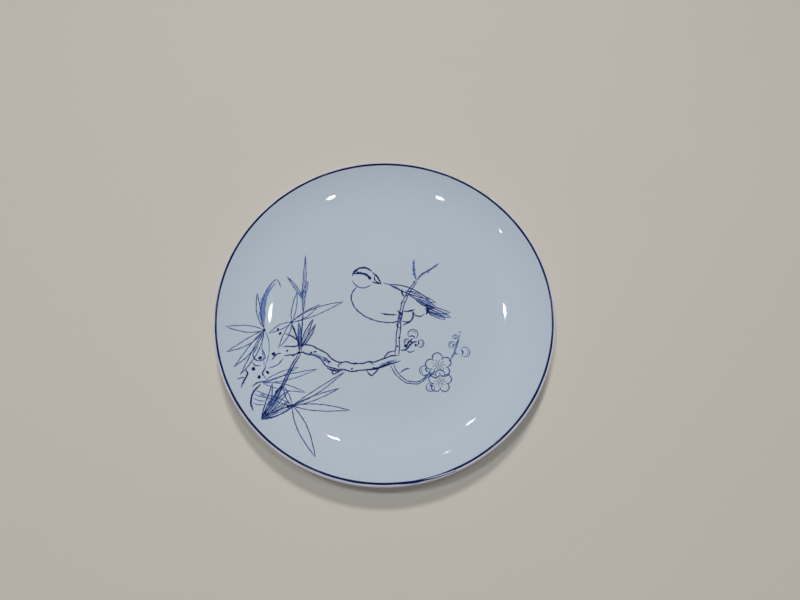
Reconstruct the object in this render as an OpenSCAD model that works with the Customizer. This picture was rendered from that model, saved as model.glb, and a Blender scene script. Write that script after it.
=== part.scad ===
// Coupe dinner plate in glazed porcelain with a thin banded rim line and a
// bird, bamboo and blossom line pattern fired onto the glaze.
// Millimetres. The origin is the centre of the foot's contact plane, +Z is up,
// and the pattern reads upright with +Y as its top.

/* [Plate] */
// Overall diameter, rim to rim
plate_d = 267; // [260:1:272]
// Height from the table to the top of the lip
plate_h = 26; // [25:0.5:32]

/* [Wall and lip] */
// Radius of the flat middle of the eating face
well_r = 71; // [69:1:73]
// Radius of the faint hollow that the middle settles into as it is fired
well_hollow_r = 6000; // [4000:500:12000]
// Radius of the upward curve from the flat middle to the lip
wall_r = 108; // [102:1:116]
// Radius of the fully rounded lip, half the thickness of the wall
lip_r = 2; // [1.6:0.1:2.2]

/* [Foot] */
// Radius of the middle of the foot's contact ring
foot_r = 75.5; // [74.5:0.5:77.5]
// Width of the flat bare ring that touches the table
foot_w = 2.4; // [1.8:0.1:3]
// Height of the underside of the base above the table
recess_h = 3.6; // [3:0.2:4]

/* [Glaze] */
// Thickness of the fired glaze
glaze_t = 0.25; // [0.15:0.05:0.4]
// Height on the foot at which the glaze stops
glaze_line = 1; // [0.8:0.1:1.6]

/* [Decoration] */
// Width of the painted line on the lip
band_w = 1.6; // [0.8:0.1:2]
// Angle on the lip's round of the middle of the painted line, in degrees
band_at = 105; // [90:1:110]
// Height of the fired colour above the glaze
ink_t = 0.08; // [0.05:0.01:0.15]
// Weight of the drawn lines, as a share of their given widths
line_weight = 1.25; // [0.8:0.05:1.5]
// Points in each span of a drawn curve
pen_steps = 4; // [3:1:6]

/* [Hidden] */
$fn = 180;
porcelain = "#d8d3c8";
glaze_white = "#c9d6df";
cobalt = "#1c2370";
wall_t = 2 * lip_r;
lip_x = plate_d / 2 - lip_r;
lip_z = plate_h - lip_r;
// The middle's hollow, the wall and the lip are three arcs that meet at a common tangent
well_slope = asin(well_r / well_hollow_r);
wall_x = well_r - wall_r * sin(well_slope);
rim_slope = asin((lip_x - wall_x) / (wall_r + lip_r));
wall_centre = [wall_x, lip_z + (wall_r + lip_r) * cos(rim_slope)];
well_centre = [0, wall_centre[1] + (well_hollow_r - wall_r) * cos(well_slope)];
// The foot's two walls lean out from the contact ring by these amounts
foot_lean_out = 1.3;
foot_lean_in = 1;
foot_edge = 0.4;
foot_fillet = 1.6;
well_points = 6;
curve_points = 18;
lip_points = 20;

// Points on an arc from angle a to angle b, without its first ones where skip says so
function arc(centre, r, a, b, n, skip = 0) =
    [for (i = [skip:n]) let (t = a + (b - a) * i / n) centre + r * [cos(t), sin(t)]];

// A corner at b between a and c, replaced by a short curve that starts d away from it
function eased(a, b, c, d, n = 4) =
    let (p = b + d * (a - b) / norm(a - b), q = b + d * (c - b) / norm(c - b))
    [for (i = [0:n]) let (t = i / n) (1 - t) * (1 - t) * p + 2 * t * (1 - t) * b + t * t * q];

// The upper side, the lip and the underside of the wall, from the axis to the foot.
// cut is how far the path lies inside the glazed surface.
function wall_path(cut) =
    let (foot_x = foot_r + foot_w / 2 + foot_edge + foot_lean_out - cut,
         under_r = wall_r + wall_t - cut)
    concat(arc(well_centre, well_hollow_r + cut, -90, well_slope - 90, well_points),
           arc(wall_centre, wall_r + cut, well_slope - 90, rim_slope - 90, curve_points, 1),
           arc([lip_x, lip_z], lip_r - cut, 90 + rim_slope, rim_slope - 90, lip_points, 1),
           arc(wall_centre, under_r, rim_slope - 90, -acos((foot_x + 2 * foot_fillet - wall_x) / under_r),
               curve_points, 1),
           [[foot_x, wall_centre[1] - sqrt(under_r * under_r - pow(foot_x - wall_x, 2))]]);

// Joins of a path's last corner to what follows it
function last(p) = p[len(p) - 1];
function all_but_last(p) = [for (i = [0:len(p) - 2]) p[i]];

// Glazed side of the foot's outer wall and of its inner wall, at height z
function foot_outer(z, cut) = [foot_r + foot_w / 2 + foot_edge + foot_lean_out * z / recess_h - cut, z];
function foot_inner(z, cut) = [foot_r - foot_w / 2 - foot_edge - foot_lean_in * z / recess_h + cut, z];

// Outside of the plate from the axis to the glaze line on the foot's outer wall
function face_path(cut) =
    let (path = wall_path(cut), low = foot_outer(glaze_line, glaze_t))
    concat(all_but_last(path),
           eased(path[len(path) - 2], last(path), foot_outer(glaze_line + glaze_t, cut), foot_fillet),
           [low]);

// Underside of the base from the axis to the glaze line on the foot's inner wall
function base_path(cut) =
    concat([[0, recess_h + cut]],
           eased([0, recess_h + cut], foot_inner(recess_h + cut, cut),
                 foot_inner(glaze_line + glaze_t, cut), foot_fillet),
           [foot_inner(glaze_line, glaze_t)]);

function reversed(p) = [for (i = [len(p) - 1:-1:0]) p[i]];

// Bare end of the foot, from the outer glaze line round to the inner one
function contact_path() =
    let (a = foot_outer(glaze_line, glaze_t), b = foot_outer(foot_edge, glaze_t),
         c = [foot_r + foot_w / 2, 0], d = [foot_r - foot_w / 2, 0], e = foot_inner(foot_edge, glaze_t))
    concat(eased(a, b, c, foot_edge / 2), [c, d],
           eased(d, e, foot_inner(glaze_line, glaze_t), foot_edge / 2));

// The one thrown and fired piece: base, wall, lip and foot ring
module porcelain_body() {
    color(porcelain)
        rotate_extrude()
            polygon(concat(face_path(glaze_t), contact_path(), reversed(base_path(glaze_t))));
}

// Glaze over the whole face, the lip and the outside down to the foot
module face_glaze() {
    color(glaze_white)
        rotate_extrude()
            polygon(concat(face_path(0), reversed(all_but_last(face_path(glaze_t)))));
}

// Separate pool of glaze inside the foot ring
module base_glaze() {
    color(glaze_white)
        rotate_extrude()
            polygon(concat(base_path(0), reversed(all_but_last(base_path(glaze_t)))));
}

// Cobalt line banded round the top of the lip
module rim_line() {
    half = band_w / lip_r * 90 / PI;
    color(cobalt)
        rotate_extrude()
            polygon(concat(arc([lip_x, lip_z], lip_r + ink_t, band_at - half, band_at + half, 6),
                           arc([lip_x, lip_z], lip_r, band_at + half, band_at - half, 6)));
}

// ---- Drawn pattern -------------------------------------------------------
// A stroke is [points, width]. Its points are in plan, measured from the plate's axis.

// Height of the glazed face at distance r from the axis
function face_z(r) =
    r < well_r ? well_centre[1] - sqrt(pow(well_hollow_r, 2) - r * r)
    : wall_centre[1] - sqrt(wall_r * wall_r - pow(r - wall_x, 2));

function on_face(p, up = 0) = [p[0], p[1], face_z(norm(p)) + up];

// Smooth curve through the points p
function smooth(p) =
    concat([for (i = [0:len(p) - 2])
                let (a = p[max(i - 1, 0)], b = p[i], c = p[i + 1], d = p[min(i + 2, len(p) - 1)])
                for (k = [0:pen_steps - 1])
                    let (t = k / pen_steps)
                    (2 * b + (c - a) * t + (2 * a - 5 * b + 4 * c - d) * t * t
                     + (3 * b - a - 3 * c + d) * t * t * t) / 2],
           [last(p)]);

function pen(points, w) = [[smooth(points), w]];
function swing(centre, r, a, b, w) = [[arc(centre, r, a, b, ceil(abs(b - a) / 24)), w]];

// Arc of an oval of half-lengths r[0] and r[1], turned by tilt
function oval(centre, r, tilt, a, b, w) =
    [[[for (i = [0:12])
          let (t = a + (b - a) * i / 12, x = r[0] * cos(t), y = r[1] * sin(t))
          centre + [x * cos(tilt) - y * sin(tilt), x * sin(tilt) + y * cos(tilt)]], w]];

// Small marks left by the tip of the brush
function dots(list, w) = [for (c = list) [[c - [w / 2, 0], c, c + [w / 2, w / 8]], w]];

// Two edges of a leaf that leaves base at an angle. bow bends it, as a share of its length.
function leaf(base, angle, length, width, bow = 0, w = 0.5) =
    let (u = [cos(angle), sin(angle)], v = [-u[1], u[0]])
    [for (side = [1, -1])
        [[for (i = [0:7])
             let (s = i / 7)
             base + u * length * s + v * (4 * bow * length * s * (1 - s)
                                          + side * width / 2 * sin(180 * pow(s, 0.85)))], w]];

// Leaves from one joint of the cane, each [angle, length, width, bow]
function leaves(base, list, w = 0.5) =
    [for (item = list) each leaf(base, item[0], item[1], item[2], item[3], w)];

// Both outlines of a branch that narrows from w0 to w1 along its middle line, with knotty bark
function branch(middle, w0, w1, knots, w) =
    let (p = smooth(middle), n = len(p) - 1)
    [for (side = [1, -1])
        [[for (i = [0:n])
             let (d = p[min(i + 1, n)] - p[max(i - 1, 0)], u = d / norm(d), s = i / n,
                  swell = 1 + knots * (sin(i * 73 + side * 50) + 0.5 * sin(i * 131 - side * 80)))
             p[i] + side * (w0 + (w1 - w0) * s) / 2 * swell * [-u[1], u[0]]], w]];

// Open five-petalled flower with a pair of stamens to each petal
function blossom(centre, r, turn, w = 0.62) =
    [for (k = [0:4])
        let (a = turn + 72 * k, petal = centre + 0.93 * r * [cos(a), sin(a)])
        each concat(swing(petal, 0.6 * r, a - 125, a + 125, w),
                    [for (b = [a - 16, a + 16])
                        [[centre + 0.16 * r * [cos(b), sin(b)], centre + 0.6 * r * [cos(b), sin(b)]], 0.3]])];

// Closed bud with its cup at the back
function bud(centre, r, turn) =
    concat(swing(centre, r, turn - 145, turn + 145, 0.5),
           swing(centre, 0.6 * r, turn - 80, turn + 60, 0.35),
           swing(centre - 0.9 * r * [cos(turn), sin(turn)], 0.55 * r, turn - 75, turn + 75, 0.75));

// Width of a stroke at share s of its length: it swells from a fine start and tapers out
function pressure(s) = min(1, 0.35 + 3 * s, 0.35 + 3 * (1 - s));

// Left edge, right edge and crest of stroke at its point i
function station(stroke, i) =
    let (p = stroke[0], n = len(p) - 1, d = p[min(i + 1, n)] - p[max(i - 1, 0)], u = d / norm(d),
         half = line_weight * stroke[1] / 2 * pressure(i / n), v = half * [-u[1], u[0]])
    [on_face(p[i] + v), on_face(p[i] - v), on_face(p[i], ink_t)];

// Triangles of a stroke with n spans whose first corner is number k
function shell(k, n) =
    concat([[k, k + 2, k + 1], [k + 3 * n, k + 3 * n + 1, k + 3 * n + 2]],
           [for (i = [0:n - 1])
               let (a = k + 3 * i, b = a + 1, c = a + 2)
               each [[a, c + 3, c], [a, a + 3, c + 3], [b, c, c + 3], [b, c + 3, b + 3],
                     [a, b, b + 3], [a, b + 3, a + 3]]]);

// Low ridges of fired colour, one closed shell to a stroke
module painted(strokes) {
    first = [for (i = 0, k = 0; i < len(strokes); k = k + 3 * len(strokes[i][0]), i = i + 1) k];
    color(cobalt)
        polyhedron(points = [for (s = strokes) for (i = [0:len(s[0]) - 1]) each station(s, i)],
                   faces = [for (j = [0:len(strokes) - 1]) each shell(first[j], len(strokes[j][0]) - 1)]);
}

// Songbird on the twig, looking back over its wing
module bird() {
    head = [-20, 33.5];
    head_r = 9;
    beak = [-4.5, 28.5];
    body = [-3.5, 12.7];
    body_size = [25.5, 16.6];
    body_tilt = -14;
    painted(concat(
        swing(head, head_r, 176, 40, 1.1),
        swing([-23, 25.5], 12, 116, 38, 1.45),
        swing(head, head_r, 196, 322, 0.6),
        dots([[-14.5, 33.5]], 2),
        pen([[-28.5, 36], [-27, 38.5], [-24.5, 39.5]], 0.9),
        pen([[-13, 39], [-8.5, 35], beak], 0.95),
        pen([[-10.5, 36], [-10, 31.5], beak], 0.7),
        pen([[-12.5, 30], [-9, 29.3], beak], 0.8),
        oval(body, body_size, body_tilt, 154, 322, 0.7),
        oval(body, body_size, body_tilt, 98, 62, 0.65),
        leaf([2, 28.5], -20, 36, 5, 0.03, 0.65),
        leaves([15, 23.5], [[-20, 28, 4.6, 0], [-27, 31, 4.4, 0]]),
        pen([[27, 15.5], [33, 12], [40, 10]], 1),
        pen([[24, 16], [29, 12.5], [35, 9.5]], 0.8),
        leaves([32, 8.5], [[-7, 21, 4.6, 0], [-17, 22.5, 5, 0], [-27, 19, 4.4, 0]], 0.55),
        pen([[35, 6.5], [40, 4.5], [47, 3]], 0.55),
        pen([[32, 12.5], [34.5, 8], [33, 3.5]], 1.5),
        pen([[22, 6.5], [24, 3], [28, 1.8], [32, 4]], 0.7),
        pen([[14, 5.5], [19, 6], [24, 7.5]], 0.9),
        pen([[22, 6], [22.5, 1], [20, -3], [14, -6.5]], 0.85),
        pen([[13.5, -2.5], [17, -3.5], [20, -2.5]], 0.65),
        pen([[-4, 3.3], [2, 2.3], [9.5, 2.4]], 0.85),
        [for (i = [0:2]) each pen([[9.5 + 1.4 * i, 6.5 - i], [11.5 + i, 3.8], [14.5, 1.5 + 1.6 * i]], 0.8)]));
}

// Young twig that the bird holds, forked at the top
module perch_twig() {
    painted(concat(
        branch([[11, -32], [11, -20], [11.5, -8], [12.5, 4], [15, 15], [19, 24], [24.5, 33]],
               3, 1.6, 0.12, 0.6),
        pen([[24.5, 33], [22.5, 38], [21.5, 45], [21.5, 52]], 1.3),
        pen([[24.5, 33], [29, 39], [35, 43], [43, 49.5]], 1.2),
        pen([[22.5, 38.5], [20, 38]], 0.5),
        pen([[33, 42], [34.5, 39.5]], 0.5),
        pen([[12.5, 25], [13, 21], [15, 18]], 0.95),
        swing([11.8, -6.5], 2.1, 60, 330, 0.55),
        swing([14, 12], 1.8, 200, 30, 0.5),
        dots([[12, -17], [11, -24], [12.4, -1], [17, 19.5], [22.5, 31.5]], 1.2)));
}

// Gnarled branch that carries the perch
module old_branch() {
    painted(concat(
        branch([[-79, -33], [-66, -30], [-53, -31.5], [-40, -40.5], [-26, -42.5], [-12, -41.5],
                [0, -38], [13, -33]], 7, 5.4, 0.15, 0.75),
        swing([-12, -45], 7, 118, 40, 0.6),
        pen([[-40, -44.5], [-38, -49], [-32.5, -45.5]], 0.75),
        pen([[-13, -44.5], [-8, -48.5], [-2, -41.5]], 0.75),
        pen([[0, -35.5], [4, -29.5], [10, -28]], 0.7),
        pen([[-47, -35.5], [-44, -37.5], [-42, -41]], 0.7),
        pen([[-44, -44], [-38, -46.2], [-31, -46]], 0.95),
        pen([[-12, -44.5], [-3, -42.3], [7, -38]], 1.15),
        pen([[-64, -31.5], [-59, -34], [-52, -34.5]], 0.6),
        swing([-21, -41], 1.8, 190, 20, 0.55),
        swing([-33.5, -42], 1.5, 20, 260, 0.55),
        dots([[-76, -32], [-71, -35.5], [-67, -33], [-57, -32.5], [-54, -31.5], [-46, -38], [-42, -39],
              [-24, -44], [-7, -42.5], [4, -38]], 1.3)));
}

// Open flowers at the end of the side branch
module blossom_spray() {
    painted(concat(
        branch([[7, -39], [12, -47], [20, -52.5], [29, -52.5], [37, -46]], 2.4, 1.2, 0.12, 0.55),
        pen([[14, -46], [17, -43], [22, -41.5]], 0.8),
        blossom([44, -38.5], 6.8, 100),
        blossom([45.5, -51], 6, 20),
        bud([33, -43], 3.8, 200),
        bud([38, -56], 3.4, 240),
        pen([[37, -46], [40, -44.5], [41.5, -42]], 0.7)));
}

// Two sprigs of closed buds
module bud_sprigs() {
    painted(concat(
        pen([[52.5, -35], [56, -28], [58.5, -20], [60.5, -11.5]], 1.2),
        pen([[56.5, -28], [60, -28.5]], 0.6),
        bud([64.5, -26.5], 4, 10),
        bud([54.5, -21], 2.6, 150),
        bud([57, -14.5], 1.9, 110),
        dots([[60.8, -10], [57, -28], [53, -34]], 1.2),
        pen([[13, -27], [18, -26.5], [22, -20]], 0.9),
        pen([[18, -27.5], [21.5, -28.5], [25, -27]], 0.7),
        bud([23, -13.5], 4, 80),
        bud([29, -21], 3, 350),
        bud([18.5, -20], 2.4, 160),
        pen([[20, -24], [23, -20.5], [26.5, -19.5]], 1.1),
        pen([[17.5, -26.5], [19.5, -21], [23.5, -16.5]], 0.9),
        dots([[21.5, -19.5], [25.5, -22.5], [17, -23.5]], 1.5)));
}

// Bamboo shoots that rise from the branch
module bamboo_upper() {
    painted(concat(
        leaves([-75, -8], [[26, 45, 6, 0.02], [38, 27, 4.5, -0.03], [86, 27, 3.4, 0], [250, 24, 4, 0.03],
                           [213, 20, 4, -0.03]]),
        leaf([-66.5, 0], 93, 51, 2.6),
        leaves([-68, 12], [[128, 24, 2.2, -0.04], [80, 17, 2.6, 0]]),
        leaves([-65.5, -29], [[73, 26, 3, 0.02], [100, 22, 2.6, 0], [64, 23, 2.4, -0.03]], 0.6),
        pen([[-66, -33], [-69, -22], [-75, -8.5]], 1),
        pen([[-65, -32], [-66, -20], [-66.5, 0]], 0.7),
        pen([[-67, -24], [-73, -20], [-79, -18]], 0.8),
        dots([[-66.5, -33], [-75, -8]], 1.8)));
}

// Bamboo joint near the rim, with one leaf that curls over
module curled_leaves() {
    joint = [-95.5, -16.5];
    painted(concat(
        leaves(joint, [[184, 28, 5.5, 0], [223, 33, 4.5, 0.03], [243, 38, 4.2, 0.02], [253, 41, 4, 0.03],
                       [278, 31, 5.5, 0.03]]),
        pen([joint, [-99.5, -4], [-99, 10], [-95, 22], [-90, 27], [-86, 20]], 0.6),
        pen([joint, [-97, -4], [-97, 9], [-93.5, 20], [-90, 25.5]], 0.5),
        leaf([-97, -14], 104, 29, 3.2, 0.04),
        dots([joint, [-85, -15], [-83, -18]], 1.8)));
}

// Foot of the old tree, with bark marks and a bare root
module rock_and_root() {
    painted(concat(
        pen([[-98, -30], [-101, -38], [-97, -42.5], [-92, -39], [-96, -31]], 0.6),
        pen([[-90, -46], [-92, -52], [-89, -56]], 0.7),
        pen([[-89, -48], [-82, -44], [-78, -38]], 0.6),
        pen([[-105, -50], [-102.5, -54], [-104, -60], [-105, -66]], 0.8),
        pen([[-103, -57], [-106, -58], [-109, -59.5]], 0.6),
        pen([[-92, -61], [-96, -68], [-96.5, -76], [-93.5, -83]], 0.9),
        [for (i = [0:3])
            each pen([[-95.5, -66 - 3.6 * i], [-90, -68 - 3.2 * i], [-86, -68.5 - 2.8 * i]], 0.5)],
        pen([[-98, -64], [-94, -60], [-88, -58]], 0.7),
        pen([[-87, -41], [-84, -36], [-80, -34]], 0.7),
        pen([[-101, -44], [-98, -46.5], [-94, -46]], 0.6),
        dots([[-99, -49.5], [-94, -55.5], [-88.5, -51], [-86, -35.5], [-95.5, -40]], 2.1)));
}

// Main cane of bamboo and its fans of leaves
module bamboo_lower() {
    joint = [-67, -76];
    painted(concat(
        [for (side = [-0.9, 0.9])
            each pen([[-66 + side, -34], [-71 + side, -45], [-76 + side, -60], [-83 + side, -78]], 0.7)],
        leaves(joint, [[-1, 44, 5.2, 0.01], [38, 48, 3.2, -0.01], [25, 38, 3.6, 0], [-60, 44, 7, 0],
                       [212, 24, 3.2, 0.02], [165, 26, 3, -0.03], [118, 18, 3, 0.03]]),
        leaves([-87, -89], [[32, 27, 4, 0], [57, 30, 3.6, 0.03], [70, 33, 3.4, 0], [84, 30, 3.2, -0.03],
                            [45, 24, 2.6, -0.02]], 0.6),
        leaves([-91, -60], [[20, 43, 4.2, 0], [-8, 33, 4.6, 0.02], [31, 30, 3.6, 0.03]]),
        dots([joint, [-70, -77], [-80, -66], [-77, -62]], 1.9)));
}

porcelain_body();
face_glaze();
base_glaze();
rim_line();
bird();
perch_twig();
old_branch();
blossom_spray();
bud_sprigs();
bamboo_upper();
curled_leaves();
rock_and_root();
bamboo_lower();
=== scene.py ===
"""Looks of a glazed porcelain dinner plate with a cobalt line pattern fired onto its face.

Blender works in metres. The plate's own dimensions and its pattern are in millimetres here,
as in its CAD source, measured from the plate's axis and from the table it stands on.
"""

import math
import random

import bpy
import numpy as np
from mathutils import Matrix, Vector


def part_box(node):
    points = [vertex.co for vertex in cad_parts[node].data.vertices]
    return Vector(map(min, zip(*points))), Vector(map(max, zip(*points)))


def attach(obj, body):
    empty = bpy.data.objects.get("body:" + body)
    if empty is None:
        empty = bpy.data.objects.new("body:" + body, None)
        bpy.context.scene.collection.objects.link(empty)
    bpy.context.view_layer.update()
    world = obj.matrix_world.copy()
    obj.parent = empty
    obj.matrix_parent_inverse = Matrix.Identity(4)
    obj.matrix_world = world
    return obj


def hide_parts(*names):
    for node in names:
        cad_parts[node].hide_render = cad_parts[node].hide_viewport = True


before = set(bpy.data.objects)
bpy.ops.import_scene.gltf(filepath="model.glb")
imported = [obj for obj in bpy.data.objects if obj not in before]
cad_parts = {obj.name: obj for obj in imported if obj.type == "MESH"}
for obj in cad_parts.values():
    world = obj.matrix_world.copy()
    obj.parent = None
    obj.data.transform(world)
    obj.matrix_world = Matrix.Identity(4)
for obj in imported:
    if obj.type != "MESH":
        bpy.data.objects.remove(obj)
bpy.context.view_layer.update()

# ---- Dimensions ----------------------------------------------------------

MM = 0.001
BODY = "root"

glaze_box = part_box("face_glaze")
PLATE_R = glaze_box[1][0] / MM
PLATE_H = glaze_box[1][2] / MM
WELL_R = 71
WELL_HOLLOW_R = 6000
WALL_R = 108
LIP_R = 2
FOOT_R = 75.5
FOOT_W = 2.4
FOOT_EDGE = 0.4
FOOT_FILLET = 1.6
FOOT_LEAN_OUT = 1.3
FOOT_LEAN_IN = 1
RECESS_H = 3.6
GLAZE_T = 0.25
GLAZE_LINE = 1
BAND_W = 1.6
BAND_AT = 105

LIP_X = PLATE_R - LIP_R
LIP_Z = PLATE_H - LIP_R
# The middle's faint hollow, the wall and the lip are three arcs that meet at a common tangent
WELL_SLOPE = math.asin(WELL_R / WELL_HOLLOW_R)
WALL_X = WELL_R - WALL_R * math.sin(WELL_SLOPE)
SLOPE = math.asin((LIP_X - WALL_X) / (WALL_R + LIP_R))
RIM_SLOPE = math.degrees(SLOPE)
RIM_X = LIP_X - LIP_R * math.sin(SLOPE)
WALL_CENTRE = (WALL_X, LIP_Z + (WALL_R + LIP_R) * math.cos(SLOPE))
WELL_CENTRE = (0, WALL_CENTRE[1] + (WELL_HOLLOW_R - WALL_R) * math.cos(WELL_SLOPE))
# Steps of the turned meshes: round the plate, and along each stretch of the face's section
SEGMENTS = 320
WELL_STEPS = 48
WALL_STEPS = 80
LIP_STEPS = 32
UNDER_STEPS = 24


# ---- Section of the plate ------------------------------------------------

def arc(centre, r, a, b, n):
    """Points on an arc from angle a to angle b, in degrees."""
    t = np.radians(np.linspace(a, b, n + 1))
    return np.column_stack([centre[0] + r * np.cos(t), centre[1] + r * np.sin(t)])


def line(a, b, n):
    """n + 1 points from a to b."""
    t = np.linspace(0, 1, n + 1)[:, None]
    return np.array(a) * (1 - t) + np.array(b) * t


def eased(a, b, c, d, n=8):
    """The corner at b between a and c as a short curve that starts d away from it."""
    a, b, c = map(np.array, (a, b, c))
    p = b + d * (a - b) / np.linalg.norm(a - b)
    q = b + d * (c - b) / np.linalg.norm(c - b)
    t = np.linspace(0, 1, n + 1)[:, None]
    return (1 - t) ** 2 * p + 2 * t * (1 - t) * b + t ** 2 * q


def foot_outer(z, cut):
    return (FOOT_R + FOOT_W / 2 + FOOT_EDGE + FOOT_LEAN_OUT * z / RECESS_H - cut, z)


def foot_inner(z, cut):
    return (FOOT_R - FOOT_W / 2 - FOOT_EDGE - FOOT_LEAN_IN * z / RECESS_H + cut, z)


def face_path(cut, coarse=1):
    """Outside of the plate from the axis, over the lip, to the glaze line on the foot.

    cut is how far it lies inside the glaze's surface. coarse divides the number of its steps."""
    foot_x = FOOT_R + FOOT_W / 2 + FOOT_EDGE + FOOT_LEAN_OUT - cut
    under_r = WALL_R + 2 * LIP_R - cut
    meet = (foot_x, WALL_CENTRE[1] - math.sqrt(under_r ** 2 - (foot_x - WALL_X) ** 2))
    under_end = -math.degrees(math.acos((foot_x + 2 * FOOT_FILLET - WALL_X) / under_r))
    well_end = math.degrees(WELL_SLOPE) - 90
    well = arc(WELL_CENTRE, WELL_HOLLOW_R + cut, -90, well_end, WELL_STEPS // coarse)
    wall = arc(WALL_CENTRE, WALL_R + cut, well_end, RIM_SLOPE - 90, WALL_STEPS // coarse)
    lip = arc((LIP_X, LIP_Z), LIP_R - cut, 90 + RIM_SLOPE, RIM_SLOPE - 90, LIP_STEPS // coarse)
    under = arc(WALL_CENTRE, under_r, RIM_SLOPE - 90, under_end, UNDER_STEPS // coarse)
    foot = eased(under[-1], meet, foot_outer(GLAZE_LINE + GLAZE_T, cut), FOOT_FILLET)
    return np.vstack([well, wall[1:], lip[1:], under, foot, [foot_outer(GLAZE_LINE, GLAZE_T)]])


def base_path(cut):
    """Underside of the base from the axis to the glaze line inside the foot."""
    corner = foot_inner(RECESS_H + cut, cut)
    foot = eased((0, RECESS_H + cut), corner, foot_inner(GLAZE_LINE + GLAZE_T, cut), FOOT_FILLET)
    flat = line((0, RECESS_H + cut), foot[0], 40)
    return np.vstack([flat[:-1], foot, [foot_inner(GLAZE_LINE, GLAZE_T)]])


def contact_path():
    """Bare end of the foot, from the outer glaze line round to the inner one."""
    outer = foot_outer(FOOT_EDGE, GLAZE_T)
    inner = foot_inner(FOOT_EDGE, GLAZE_T)
    a, b = (FOOT_R + FOOT_W / 2, 0), (FOOT_R - FOOT_W / 2, 0)
    return np.vstack([eased(foot_outer(GLAZE_LINE, GLAZE_T), outer, a, FOOT_EDGE / 2), line(a, b, 6),
                      eased(b, inner, foot_inner(GLAZE_LINE, GLAZE_T), FOOT_EDGE / 2)])


def face_z(r):
    """Height of the ideal glazed face at distance r from the axis."""
    well = WELL_CENTRE[1] - np.sqrt(WELL_HOLLOW_R ** 2 - np.minimum(r, WELL_R) ** 2)
    wall = WALL_CENTRE[1] - np.sqrt(WALL_R ** 2 - (np.maximum(r, WELL_R) - WALL_X) ** 2)
    return np.where(r < WELL_R, well, wall)


# Slow waves left in the face by turning and firing: height in mm, waves a plate, direction in degrees
WAVES = [(0.010, 3.1, 20), (0.008, 4.3, 75), (0.006, 6.2, 130), (0.004, 9.1, 165), (0.003, 13.3, 50)]
# How far each wave is shifted from the one before, in radians, and where they die out inside the rim, in mm
WAVE_SHIFT = 1.7
WAVE_FADE = 12


def waviness(x, y):
    """Departure of the real face from the ideal one, which dies out at the rim."""
    total = 0
    for k, (height, waves, direction) in enumerate(WAVES):
        a = math.radians(direction)
        along = x * math.cos(a) + y * math.sin(a)
        total = total + height * np.sin(waves * math.pi / PLATE_R * along + WAVE_SHIFT * k)
    return total * np.clip((RIM_X - np.hypot(x, y)) / WAVE_FADE, 0, 1)


def face_height(x, y):
    return face_z(np.hypot(x, y)) + waviness(x, y)


# ---- Mesh making ---------------------------------------------------------

def new_object(name, verts, faces, smooth=True):
    """A mesh object from millimetre vertices."""
    mesh = bpy.data.meshes.new(name)
    mesh.from_pydata((np.asarray(verts) * MM).tolist(), [], faces)
    mesh.validate()
    if smooth:
        mesh.shade_smooth()
    else:
        mesh.shade_flat()
    piece = bpy.data.objects.new(name, mesh)
    bpy.context.scene.collection.objects.link(piece)
    return piece


def revolve(name, path, face_stations=0):
    """A solid of revolution. The path starts and ends on the axis.

    Its first face_stations points off the axis lie on the face, and take the face's waviness."""
    angle = np.linspace(0, 2 * math.pi, SEGMENTS, endpoint=False)
    ring = path[1:-1]
    x = ring[:, :1] * np.cos(angle)
    y = ring[:, :1] * np.sin(angle)
    z = np.repeat(ring[:, 1:], SEGMENTS, axis=1)
    z[:face_stations] += waviness(x[:face_stations], y[:face_stations])
    rings = np.stack([x, y, z], axis=-1).reshape(-1, 3)
    start_z = path[0][1] + (waviness(0, 0) if face_stations else 0)
    verts = np.vstack([[0, 0, start_z], rings, [0, 0, path[-1][1]]])
    here = np.arange(SEGMENTS)
    after = np.roll(here, -1)
    base = 1 + SEGMENTS * np.arange(len(ring) - 1)[:, None]
    quads = np.stack([base + here, base + SEGMENTS + here, base + SEGMENTS + after, base + after], axis=-1)
    last_ring = 1 + SEGMENTS * (len(ring) - 1)
    faces = quads.reshape(-1, 4).tolist()
    faces += [[0, 1 + i, 1 + j] for i, j in zip(here, after)]
    faces += [[last_ring + i, len(verts) - 1, last_ring + j] for i, j in zip(here, after)]
    return new_object(name, verts, [[int(v) for v in f] for f in faces])


def band_faces(rows, places, first=0):
    """Faces of a closed band and its two ends. It has rows of so many places, numbered from first."""
    faces = []
    for i in range(rows - 1):
        here = first + i * places
        after = here + places
        for j in range(places):
            k = (j + 1) % places
            faces.append([here + j, here + k, after + k, after + j])
    last = first + (rows - 1) * places
    faces.append([first + j for j in reversed(range(places))])
    faces.append([last + j for j in range(places)])
    return faces


def set_ink(piece, ink):
    """Give each point of the piece its share of ink, which the cobalt material reads."""
    values = piece.data.attributes.new("ink", "FLOAT", "POINT")
    values.data.foreach_set("value", ink.astype(np.float32))


def finish_piece(piece, material, node):
    """Material and body of a piece, and the CAD node that it stands for."""
    piece.data.materials.clear()
    piece.data.materials.append(material)
    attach(piece, BODY)
    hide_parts(node)


# ---- Materials -----------------------------------------------------------

# Sockets of the colour form of a Mix node: its two colours, and its result
MIX_A = 6
MIX_B = 7
MIX_RESULT = 2


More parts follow.
